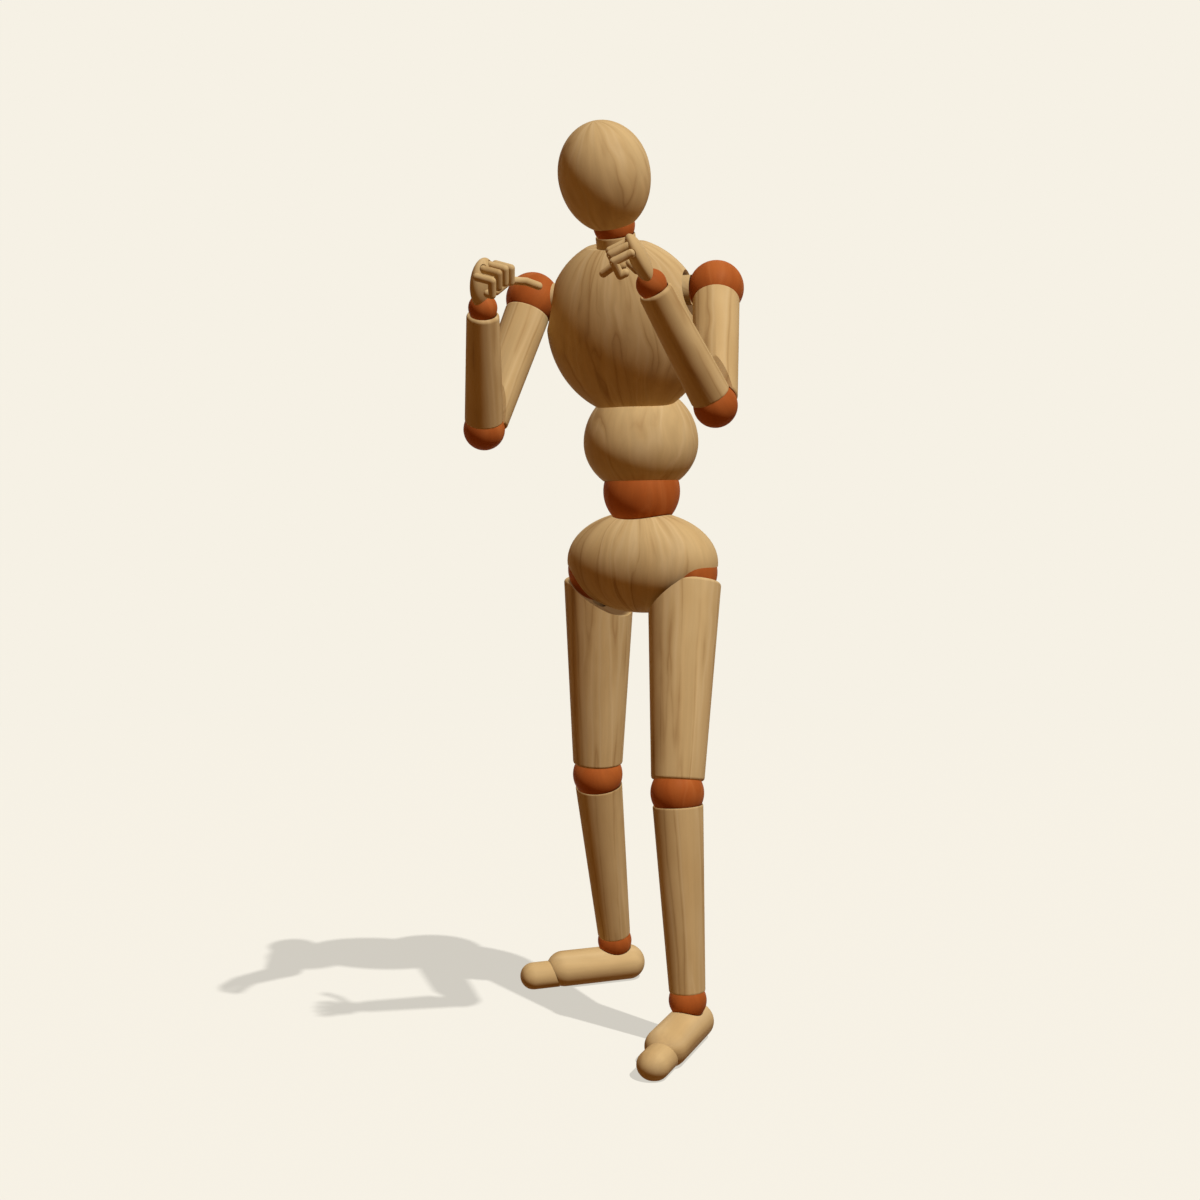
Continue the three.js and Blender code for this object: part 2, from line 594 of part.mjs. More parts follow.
function addArm(chest, sideName) {
  const side = SIDE_SIGN[sideName];
  const pose = ARM_POSE[sideName];
  const piece = (name) => name + "_" + sideName;
  const height = CHEST_ABOVE_ABDOMEN + SHOULDER_ABOVE_CHEST;
  const shoulderX = (side * SHOULDER_SPAN) / 2;
  const swing = joint(chest, piece("shoulder_swing"), shoulderX, 0, height, AXIS_X, -pose.swing);
  swing.add(meshOf(piece("shoulder_stub"), stubSolid(side), naturalWood()));
  const raise = joint(swing, piece("shoulder_raise"), 0, 0, 0, AXIS_Y, -side * pose.raise);
  raise.add(meshOf(piece("shoulder_ball"), ball(SHOULDER_BALL_RADIUS, LARGE_BALL_FACETS), stainedWood()));
  const twist = joint(raise, piece("arm_twist"), 0, 0, 0, AXIS_Z, pose.twist);
  twist.add(meshOf(piece("upper_arm"), upperArmSolid(), naturalWood()));
  const armSpring = limbSpring(UPPER_ARM_LENGTH, SHOULDER_BALL_RADIUS, ELBOW_BALL_RADIUS);
  twist.add(meshOf(piece("upper_arm_spring"), armSpring, springSteel()));
  const elbow = joint(twist, piece("elbow_bend"), 0, 0, -UPPER_ARM_LENGTH, AXIS_X, -pose.elbow);
  elbow.add(meshOf(piece("elbow_ball"), ball(ELBOW_BALL_RADIUS, SMALL_BALL_FACETS), stainedWood()));
  elbow.add(meshOf(piece("forearm"), forearmSolid(), naturalWood()));
  const forearmSpring = limbSpring(FOREARM_LENGTH, ELBOW_BALL_RADIUS, WRIST_BALL_RADIUS);
  elbow.add(meshOf(piece("forearm_spring"), forearmSpring, springSteel()));
  const turn = joint(elbow, piece("hand_turn"), 0, 0, -FOREARM_LENGTH, AXIS_Z, side * pose.handTurn);
  turn.add(meshOf(piece("wrist_ball"), ball(WRIST_BALL_RADIUS, SMALL_BALL_FACETS), stainedWood()));
  const bend = joint(turn, piece("hand_bend"), 0, 0, 0, AXIS_Y, side * pose.handBend);
  bend.add(meshOf(piece("palm"), palmSolid(side), naturalWood()));
  for (const [name, base] of Object.entries(fingerBases(side))) {
    const knuckle = joint(bend, piece(name + "_knuckle"), base.x, base.y, base.z, AXIS_Y, 0);
    const solid = name === "thumb" ? thumbSolid(side) : fingerSolid(side);
    knuckle.add(meshOf(piece(name + (name === "thumb" ? "" : "_finger")), solid, naturalWood()));
  }
}

function addLeg(pelvis, sideName) {
  const side = SIDE_SIGN[sideName];
  const pose = legAngles(side, STANCE[sideName]);
  const piece = (name) => name + "_" + sideName;
  const hipX = (side * HIP_SPAN) / 2;
  const swing = joint(pelvis, piece("hip_swing"), hipX, 0, -HIP_DEPTH_BELOW_PELVIS, AXIS_X, pose.swing);
  swing.add(meshOf(piece("hip_ball"), ball(HIP_BALL_RADIUS, LARGE_BALL_FACETS), stainedWood()));
  const spread = joint(swing, piece("hip_spread"), 0, 0, 0, AXIS_Y, pose.spread);
  spread.add(meshOf(piece("thigh"), thighSolid(side), naturalWood()));
  const thighSpring = limbSpring(THIGH_LENGTH, HIP_BALL_RADIUS, KNEE_BALL_RADIUS);
  spread.add(meshOf(piece("thigh_spring"), thighSpring, springSteel()));
  const knee = joint(spread, piece("knee_bend"), 0, 0, -THIGH_LENGTH, AXIS_X, pose.knee);
  knee.add(meshOf(piece("knee_ball"), ball(KNEE_BALL_RADIUS, LARGE_BALL_FACETS), stainedWood()));
  const turn = joint(knee, piece("shin_turn"), 0, 0, 0, AXIS_Z, pose.turn);
  turn.add(meshOf(piece("shin"), shinSolid(), naturalWood()));
  const shinSpring = limbSpring(SHIN_LENGTH, KNEE_BALL_RADIUS, ANKLE_BALL_RADIUS);
  turn.add(meshOf(piece("shin_spring"), shinSpring, springSteel()));
  const pitch = joint(turn, piece("ankle_pitch"), 0, 0, -SHIN_LENGTH, AXIS_X, pose.pitch);
  pitch.add(meshOf(piece("ankle_ball"), ball(ANKLE_BALL_RADIUS, SMALL_BALL_FACETS), stainedWood()));
  const roll = joint(pitch, piece("ankle_roll"), 0, 0, 0, AXIS_Y, pose.roll);
  roll.add(meshOf(piece("foot"), footSolid(), naturalWood()));
  roll.add(meshOf(piece("toe"), toeSolid(), naturalWood()));
}

function mannequin() {
  const figure = new THREE.Group();
  figure.name = "mannequin";
  const torso = addTorso(figure);
  addSprings(torso);
  for (const sideName of ["right", "left"]) {
    addArm(torso.chest, sideName);
    addLeg(torso.pelvis, sideName);
  }
  // The origin is on the floor, under the middle of the figure's outline
  figure.updateMatrixWorld(true);
  const middle = new THREE.Box3().setFromObject(figure, true).getCenter(new THREE.Vector3());
  figure.position.set(-middle.x, -middle.y, 0);
  return figure;
}

export default mannequin();
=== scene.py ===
import json
import math

import bmesh
import bpy
from mathutils import Matrix, Vector
from mathutils.bvhtree import BVHTree


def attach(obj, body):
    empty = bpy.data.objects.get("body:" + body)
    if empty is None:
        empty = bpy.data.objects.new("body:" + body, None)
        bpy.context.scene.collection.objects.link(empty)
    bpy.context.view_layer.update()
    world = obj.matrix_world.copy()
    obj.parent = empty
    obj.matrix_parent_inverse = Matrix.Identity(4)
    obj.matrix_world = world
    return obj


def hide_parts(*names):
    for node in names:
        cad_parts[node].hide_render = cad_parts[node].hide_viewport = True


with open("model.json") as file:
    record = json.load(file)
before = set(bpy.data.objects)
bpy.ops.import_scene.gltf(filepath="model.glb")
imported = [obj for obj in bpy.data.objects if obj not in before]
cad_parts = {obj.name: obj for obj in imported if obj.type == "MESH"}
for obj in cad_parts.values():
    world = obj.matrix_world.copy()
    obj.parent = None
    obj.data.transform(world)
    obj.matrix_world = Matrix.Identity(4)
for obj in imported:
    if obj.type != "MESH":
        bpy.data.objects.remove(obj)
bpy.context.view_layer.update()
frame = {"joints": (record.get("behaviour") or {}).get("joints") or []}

# Sizes are in millimetres, in each piece's own frame, which has its upper joint at the origin and
# its grain along Z. Angles are in degrees.
MM = 0.001

# Torso and head
PELVIS_HALF = (27.5, 17.0, 17.2)
WAIST_BALL_RADIUS = 12.9
WAIST_ABOVE_PELVIS = 23.7
ABDOMEN_RADIUS = 19.2
ABDOMEN_LOWER_REACH = 17.0
ABDOMEN_ABOVE_WAIST = 16.2
CHEST_HALF = (26.6, 17.0, 29.2)
CHEST_TOP_REACH = 27.0
CHEST_ABOVE_ABDOMEN = 39.1
NECK_RADIUS = 6.3
NECK_LENGTH = 10.0
NECK_ROUNDING = 0.8
NECK_BALL_RADIUS = 6.6
NECK_BALL_ABOVE_CHEST = 33.4
NECK_TOP_BELOW_BALL = 2.6
HEAD_HALF = (14.3, 14.3, 16.3)
HEAD_CHIN_REACH = 17.6
HEAD_ABOVE_NECK_BALL = 15.6
HEAD_TILT = -3.4

# Arms. A limb's radius is given at its top and its end, and its length from joint to joint. The
# stub's length is measured from a fraction of the shoulder ball's radius.
SIDES = {"right": -1, "left": 1}
SHOULDER_SPAN = 61.2
SHOULDER_ABOVE_CHEST = 11.4
SHOULDER_BALL_RADIUS = 8.7
SHOULDER_POCKET_CLEARANCE = 2.8
STUB_RADIUS = 4.7
STUB_LENGTH = 13.0
STUB_START_FRACTION = 0.8
STUB_CHAMFER = 0.5
ELBOW_BALL_RADIUS = 6.6
ELBOW_CLOSED = 133.0
WRIST_BALL_RADIUS = 4.4
UPPER_ARM = {
    "length": 48.0, "top": 7.3, "end": 6.6, "balls": (SHOULDER_BALL_RADIUS, ELBOW_BALL_RADIUS)
}
FOREARM = {"length": 42.0, "top": 6.1, "end": 5.0, "balls": (ELBOW_BALL_RADIUS, WRIST_BALL_RADIUS)}

# Hands. The thumb's bones point inwards, across the palm and along it by these amounts.
PALM_HALF = (2.7, 5.8, 7.7)
PALM_BELOW_WRIST = 8.1
HAND_BEND = {"right": 0.4, "left": -2.2}
FINGERS = ("index", "middle", "ring", "little", "thumb")
FINGER_RADIUS = 1.2
FINGER_BONES = (5.2, 4.3, 1.5)
THUMB_RADIUS = 1.2
THUMB_BONES = (6.0, 5.1, 3.8)
THUMB_DIRECTIONS = ((0.26, -0.91, -0.32), (0.86, -0.5, 0.06), (0.93, -0.27, 0.24))

# Legs and feet. The thigh is scooped for the pelvis at each swing and spread of the sweep.
HIP_SPAN = 33.0
HIP_BELOW_PELVIS = 3.0
HIP_BALL_RADIUS = 10.8
KNEE_BALL_RADIUS = 8.7
ANKLE_BALL_RADIUS = 6.15
THIGH = {
    "length": 72.5, "top": 12.1, "end": 8.7, "balls": (HIP_BALL_RADIUS, KNEE_BALL_RADIUS),
    "rim_drop": 3.3, "spring_drop": 2.0,
}
THIGH_SWEEP = ((-20, 0), (0, 0), (20, 0), (40, 0), (0, 14))
PELVIS_CLEARANCE = 0.5
SHIN = {"length": 67.0, "top": 8.2, "end": 5.9, "balls": (KNEE_BALL_RADIUS, ANKLE_BALL_RADIUS)}
ANKLE_HEIGHT = 14.0
HEEL_BEHIND_ANKLE = 5.0
FOOT_RADIUS = 6.2
FOOT_WIDTH = 14.0
FOOT_AXIS_LENGTH = 24.5
TOE_RADIUS = 4.7
TOE_WIDTH = 10.6
TOE_AHEAD = 11.4
SOLE_FLAT_DEPTH = 0.7

# Fits, bores and springs. A cup's rim lies below its ball's middle by a fraction of the radius.
BALL_CLEARANCE = 0.3
SEAT_CLEARANCE = 0.3
RIM_FRACTION = 0.46
RIM_ROUNDING = 1.2
LEAST_WALL = 0.15
BORE_RADIUS = 2.3
COUNTERSINK_FRACTION = 0.14
SPRING_RADIUS = 1.6
SPRING_WIRE_RADIUS = 0.35
SPRING_TURNS = 9

# Fineness of the shapes, how far cutters reach past them, and the angle of an edge shown sharp
SPIN_STEPS = 96
BONE_SPIN_STEPS = 32
ARC_STEPS = 12
BALL_ARC_STEPS = 40
ROUNDING_STEPS = 8
NECK_ROUNDING_STEPS = 6
SPRING_STEPS_PER_TURN = 24
WIRE_SIDES = 10
MERGE_WITHIN = 1e-4
CARVED_MERGE_WITHIN = 1e-3
CUT_PAST = 5.0
SHARP_DEGREES = 35.0

# Colours as linear values, and how strongly the oiled wood shines
SHEEN = 0.05
PALE_WOOD = (0.62, 0.450, 0.215)
TAN_WOOD = (0.56, 0.390, 0.175)
DARK_GRAIN = (0.30, 0.155, 0.05)
LIGHT_GRAIN = (0.70, 0.54, 0.30)
STAIN = (0.46, 0.130, 0.028)
STAIN_DEEP = (0.37, 0.090, 0.017)
STAIN_LIGHT = (0.53, 0.17, 0.045)
STEEL = (0.16, 0.16, 0.165)
STEEL_BLOOM = (0.42, 0.42, 0.42)
# Painted shade laid into each hollow place of the wood, because the key light throws no shadow on
# the object
HOLLOW_SHADE_COLOUR = (0.09, 0.036, 0.010)
BACKDROP = (0.9216, 0.8796, 0.7835)
FILL_COLOUR = (1.0, 0.44, 0.11)

# Grain. Each scale is per millimetre across, across and along the grain, and each pair of stops is
# a noise value with what it gives. A piece longer than so many girths counts as a limb.
ACROSS = (1.0, 1.0, 0.0)
ALONG = (0.0, 0.0, 1.0)
MIDDLE_OF_NOISE = (0.5, 0.5, 0.5)
LIMB_SLENDERNESS = 3
LIMB_WANDER = 2.0
LIMB_LINE_SCALE = (0.17, 0.17, 0.008)
FOOT_LINE_SCALE = (0.05, 0.05, 0.004)
EGG_WANDER = 12.0
EGG_LINE_SCALE = (0.105, 0.105, 0.018)
WANDER_SCALE = (0.07, 0.07, 0.045)
PATCH_SCALE = (0.10, 0.10, 0.045)
BROAD_DETAIL = 2.0
LINE_DETAIL = 1.0
LINE_STOPS = ((0.41, 0), (0.455, 0.5), (0.475, 1), (0.495, 0.4), (0.54, 0))
LINE_SHOWN_STOPS = ((0.40, 0.1), (0.60, 1))
NATURAL_LINE_STRENGTH = 0.55
STAINED_LINE_STRENGTH = 0.4
PALE_LINE_STOPS = ((0.53, 0), (0.58, 1), (0.63, 0.1), (0.7, 0))
PALE_LINE_STRENGTH = 0.35
TONE_STOPS = ((0.32, 0), (0.68, 1))
FIBRE_SCALE = (0.5, 0.5, 0.012)
FIBRE_DETAIL = 4.0
FIBRE_NOISE_ROUGHNESS = 0.55
FIBRE_STOPS = ((0.34, 0.94), (0.66, 1.03))

# Finish: roughness and relief, and the painted shade in each hollow place, darker with its depth
# under the skin
FINISH_ROUGHNESS = 0.52
LINE_ROUGHNESS = 0.10
FIBRE_ROUGHNESS = 0.16
LINE_RELIEF = 0.5
FIBRE_RELIEF = 0.6
BUMP_STRENGTH = 0.2
BUMP_DISTANCE_M = 0.0001
SKIN_DEPTH = 0.15
HOLLOW_DEPTH = 0.7
HOLLOW_SHADE_STRENGTH = 0.88
BLOOM_SCALE_PER_M = 900.0
BLOOM_DETAIL = 3.0
BLOOM_STOPS = ((0.3, STEEL_BLOOM), (0.7, STEEL))
STEEL_ROUGHNESS = 0.5
BLOOM_ROUGHNESS = 0.2

# Floor, light and camera, set out from the point of the floor under the pelvis. In its shadow the
# floor keeps a share of the backdrop's brightness, and far from the object it only glows.
FLOOR_RADIUS_M = 3.0
FLOOR_SIDES = 96
FLOOR_NEAR_STOPS_M = ((0.35, 1), (0.75, 0))
FLOOR_SHADE = 0.685
FLOOR_KEY_FROM = (0.511, -0.055, 1.0)
FLOOR_KEY_STRENGTH = 30.0
FLOOR_KEY_SOFTNESS = 0.8
FILL_STRENGTH = 0.185
KEY_AT = (265.0, -150.0, 545.0)
KEY_LEVEL = 1.0
KEY_SIZE = 20.0
CAMERA_AT = (239.66, -424.74, 179.99)
CAMERA_TARGET = (-11.97, -7.21, 141.04)
CAMERA_ANGLE = 45

JOINTS = {joint["name"]: joint for joint in frame["joints"]}


# Places
def pivot(joint):
    return Vector(JOINTS[joint]["pos_m"])


def axis(joint):
    return Vector(JOINTS[joint]["axis"]).normalized()


def placed(origin, x=None, y=None, z=None):
    """A piece's frame from its origin and two of its axes."""
    if x is None:
        x = y.cross(z)
    if y is None:
        y = z.cross(x)
    if z is None:
        z = x.cross(y)
    turn = Matrix((x, y, z)).transposed().to_4x4()
    return Matrix.Translation(origin) @ turn


def raised(place, height):
    return place @ Matrix.Translation(Vector((0, 0, height)) * MM)


def floor_point():
    """The point of the floor under the pelvis."""
    return Vector((pivot("waist_turn").x, pivot("waist_turn").y, 0))


# Shapes
def arc(centre, radius, start, end, steps=ARC_STEPS):
    """Points (radius, height) of an arc in a turning profile, in degrees from straight out."""
    points = []
    for step in range(steps + 1):
        a = math.radians(start + (end - start) * step / steps)
        points.append((centre[0] + radius * math.cos(a), centre[1] + radius * math.sin(a)))
    return points


def spun(profile, closed=False, steps=SPIN_STEPS):
    """Turns a profile of (radius, height) points round Z. A closed one doesn't touch the axis."""
    bm = bmesh.new()
    corners = [bm.verts.new((radius, 0, height)) for radius, height in profile]
    pairs = list(zip(corners, corners[1:]))
    if closed:
        pairs.append((corners[-1], corners[0]))
    edges = [bm.edges.new(pair) for pair in pairs]
    bmesh.ops.spin(
        bm,
        geom=corners + edges,
        cent=(0, 0, 0),
        axis=(0, 0, 1),
        angle=math.tau,
        steps=steps,
        use_merge=True,
    )
    bmesh.ops.remove_doubles(bm, verts=bm.verts, dist=MERGE_WITHIN)
    bmesh.ops.recalc_face_normals(bm, faces=bm.faces)
    return bm


def sphere(radius, at=(0, 0, 0)):
    bm = bmesh.new()
    bmesh.ops.create_uvsphere(
        bm, u_segments=SPIN_STEPS, v_segments=SPIN_STEPS // 2, radius=radius
    )
    return shifted(bm, at)


def egg(half, lower=None, at=(0, 0, 0)):
    """A round shape from its three half sizes. Its lower half may have a reach of its own."""
    bm = sphere(1)
    for vert in bm.verts:
        reach = half[2] if lower is None or vert.co.z > 0 else lower
        size = Vector((vert.co.x * half[0], vert.co.y * half[1], vert.co.z * reach))
        vert.co = size + Vector(at)
    return bm


def rod(radius, bottom, top):
    return spun([(0, bottom), (radius, bottom), (radius, top), (0, top)])


def turned_over(bm, degrees, around):
    turn = Matrix.Rotation(math.radians(degrees), 3, around)
    bmesh.ops.rotate(bm, verts=bm.verts, cent=(0, 0, 0), matrix=turn)
    return bm


def shifted(bm, vec):
    bmesh.ops.translate(bm, verts=bm.verts, vec=vec)
    return bm


def loose(bm, name):
    """An object at the origin made of a shape."""
    mesh = bpy.data.meshes.new(name)
    bm.to_mesh(mesh)
    bm.free()
    item = bpy.data.objects.new(name, mesh)
    bpy.context.scene.collection.objects.link(item)
    return item


def combined(bm, others, operation):
    """The shape after each other shape is cut from it or joined to it."""
    base = loose(bm, "blank")
    tools = [loose(other, "tool") for other in others]
    for tool in tools:
        cut = base.modifiers.new("cut", "BOOLEAN")
        cut.operation = operation
        cut.solver = "EXACT"
        cut.object = tool
    bpy.context.view_layer.update()
    result = bmesh.new()
    result.from_object(base, bpy.context.evaluated_depsgraph_get())
    for item in [base] + tools:
        mesh = item.data
        bpy.data.objects.remove(item)
        bpy.data.meshes.remove(mesh)
    bmesh.ops.remove_doubles(result, verts=result.verts, dist=CARVED_MERGE_WITHIN)
    return result


def carved(bm, cutters):
    return combined(bm, cutters, "DIFFERENCE")


def joined(bm, others):
    return combined(bm, others, "UNION")


def crossing(radius, height):
    """How far out a sphere reaches at a height from its middle."""
    return math.sqrt(radius * radius - height * height)


def rim(outer, cup, drop):
    """A cup's rounded rim, from its inner edge out to the wall, seen from the ball's middle."""
    inner = min(crossing(cup, drop), outer - LEAST_WALL)
    drop = crossing(cup, inner)
    turn = math.degrees(math.acos(max(0, 1 - (outer - inner) / RIM_ROUNDING)))
    middle = (outer - RIM_ROUNDING, -drop - RIM_ROUNDING * math.sin(math.radians(turn)))
    return [(inner, -drop)] + arc(middle, RIM_ROUNDING, turn, 0, ROUNDING_STEPS)


def cup_wall(cup, edge):
    """The hollow of a cup, from the bore for the spring up to its edge."""
    bore = -90 + math.degrees(math.asin(BORE_RADIUS / cup))
    return arc((0, 0), cup, bore, math.degrees(math.atan2(edge[1], edge[0])))


def cup_end(outer, ball, drop=None):
    cup = ball + BALL_CLEARANCE
    edge = rim(outer, cup, ball * RIM_FRACTION if drop is None else drop)
    return cup_wall(cup, edge[0]) + edge


def limb(sizes):
    """A limb between two balls: a cup at each end, rounded rims and a bore for the spring."""
    top_ball, end_ball = sizes["balls"]
    upper = cup_end(sizes["top"], top_ball, sizes.get("rim_drop"))
    end = cup_end(sizes["end"], end_ball)
    lower = [(out, -sizes["length"] - height) for out, height in end]
    return spun(upper + lower[::-1], closed=True)


def cut_off(bm, height, normal):
    """Cuts a shape along a plane through the axis at a height, and closes the cut."""
    cut = bmesh.ops.bisect_plane(
        bm,
        geom=bm.verts[:] + bm.edges[:] + bm.faces[:],
        dist=MERGE_WITHIN,
        plane_co=(0, 0, height),
        plane_no=normal,
        clear_outer=True,
    )
    edges = [item for item in cut["geom_cut"] if isinstance(item, bmesh.types.BMEdge)]
    filled = bmesh.ops.contextual_create(bm, geom=edges)
    bmesh.ops.triangulate(bm, faces=filled["faces"])
    return bm


def folded(bm, height, degrees):
    """Cuts a limb end along a slanting plane through the joint, so that the joint can close."""
    angle = math.radians(degrees)
    return cut_off(bm, height, (0, math.cos(angle), math.sin(angle)))


def drilled_ball(radius):
    """A turned ball with a shallow countersink at each pole, where its spring is hooked."""
    sink = COUNTERSINK_FRACTION * radius
    edge = 90 - math.degrees(math.asin(sink / radius))
    wall = arc((0, 0), radius, -edge, edge, BALL_ARC_STEPS)
    return spun([(0, -radius + sink)] + wall + [(0, radius - sink)])


def coil(bottom, top):
    """An open coil spring along Z."""
    bm = bmesh.new()
    steps = SPRING_TURNS * SPRING_STEPS_PER_TURN
    bmesh.ops.create_circle(bm, cap_ends=True, segments=WIRE_SIDES, radius=SPRING_WIRE_RADIUS)
    turned_over(bm, 90, "X")
    shifted(bm, (SPRING_RADIUS, 0, bottom + SPRING_WIRE_RADIUS))
    bmesh.ops.spin(
        bm,
        geom=bm.verts[:] + bm.edges[:] + bm.faces[:],
        cent=(0, 0, 0),
        axis=(0, 0, 1),
        dvec=(0, 0, (top - bottom - 2 * SPRING_WIRE_RADIUS) / steps),
        angle=math.tau * SPRING_TURNS,
        steps=steps,
    )
    bmesh.ops.recalc_face_normals(bm, faces=bm.faces)
    return bm


def bone(start, end, radius):
    """A round-ended tube from one point to another."""
    along = end - start
    foot_end = arc((0, 0), radius, -90, 0, ROUNDING_STEPS)
    far_end = arc((0, along.length), radius, 0, 90, ROUNDING_STEPS)
    bm = spun(foot_end + far_end, steps=BONE_SPIN_STEPS)
    turn = Vector((0, 0, 1)).rotation_difference(along)
    bmesh.ops.rotate(bm, verts=bm.verts, cent=(0, 0, 0), matrix=turn.to_matrix())
    return shifted(bm, start)


def bones(points, radius):
    chain = [bone(a, b, radius) for a, b in zip(points, points[1:])]
    return joined(chain[0], chain[1:])


# Shader nodes
def feed(tree, socket, value):
    """Links a socket to another one, or sets it to a number, a vector or a colour."""
    if isinstance(value, bpy.types.NodeSocket):
        tree.links.new(value, socket)
    elif socket.type == "RGBA":
        socket.default_value = (*value, 1)
    else:
        socket.default_value = value


def math_node(tree, operation, a, b):
    node = tree.nodes.new("ShaderNodeMath")
    node.operation = operation
    feed(tree, node.inputs[0], a)
    feed(tree, node.inputs[1], b)
    return node.outputs[0]


def vector_node(tree, operation, vector, other=None):
    """A vector sum. The other value is a vector, or a number where the sum is a scaling."""
    node = tree.nodes.new("ShaderNodeVectorMath")
    node.operation = operation
    feed(tree, node.inputs[0], vector)
    if other is not None:
        feed(tree, node.inputs["Scale" if operation == "SCALE" else 1], other)
    return node.outputs["Value" if operation == "LENGTH" else "Vector"]


def noise(tree, place, detail, roughness=0.5, scale=1.0):
    node = tree.nodes.new("ShaderNodeTexNoise")
    feed(tree, node.inputs["Scale"], scale)
    feed(tree, node.inputs["Detail"], detail)
    feed(tree, node.inputs["Roughness"], roughness)
    feed(tree, node.inputs["Vector"], place)
    return node


def ramp(tree, value, stops):
    """What a value gives: at each stop a colour, or a number for a grey."""
    node = tree.nodes.new("ShaderNodeValToRGB")
    elements = node.color_ramp.elements
    while len(elements) > 1:
        elements.remove(elements[-1])
    for index, (position, given) in enumerate(stops):
        element = elements[0] if index == 0 else elements.new(position)
        element.position = position
        element.color = (*given, 1) if isinstance(given, tuple) else (given, given, given, 1)
    feed(tree, node.inputs[0], value)
    return node.outputs[0]


def mixed(tree, share, first, second, blend="MIX"):
    """Two colours mixed. A mix node has its share at input 0 and its two colours at 6 and 7."""
    node = tree.nodes.new("ShaderNodeMix")
    node.data_type = "RGBA"
    node.blend_type = blend
    for index, value in ((0, share), (6, first), (7, second)):
        feed(tree, node.inputs[index], value)
    return node.outputs[2]


def mixed_shaders(tree, share, first, second):
    node = tree.nodes.new("ShaderNodeMixShader")
    for index, value in enumerate((share, first, second)):
        feed(tree, node.inputs[index], value)
    return node.outputs[0]


def shining(tree, kind, colour, strength):
    """An emission or a background."""
    node = tree.nodes.new(kind)
    feed(tree, node.inputs["Color"], colour)
    feed(tree, node.inputs["Strength"], strength)
    return node.outputs[0]


def matt(tree, colour):
    node = tree.nodes.new("ShaderNodeBsdfDiffuse")
    feed(tree, node.inputs["Color"], colour)
    return node.outputs[0]


def seen(tree):
    """One for what is seen, also in a reflection or through glass, and zero for fill light."""
    rays = tree.nodes.new("ShaderNodeLightPath")
    direct = rays.outputs["Is Camera Ray"]
    mirrored = math_node(tree, "MAXIMUM", direct, rays.outputs["Is Glossy Ray"])
    return math_node(tree, "MAXIMUM", mirrored, rays.outputs["Is Transmission Ray"])


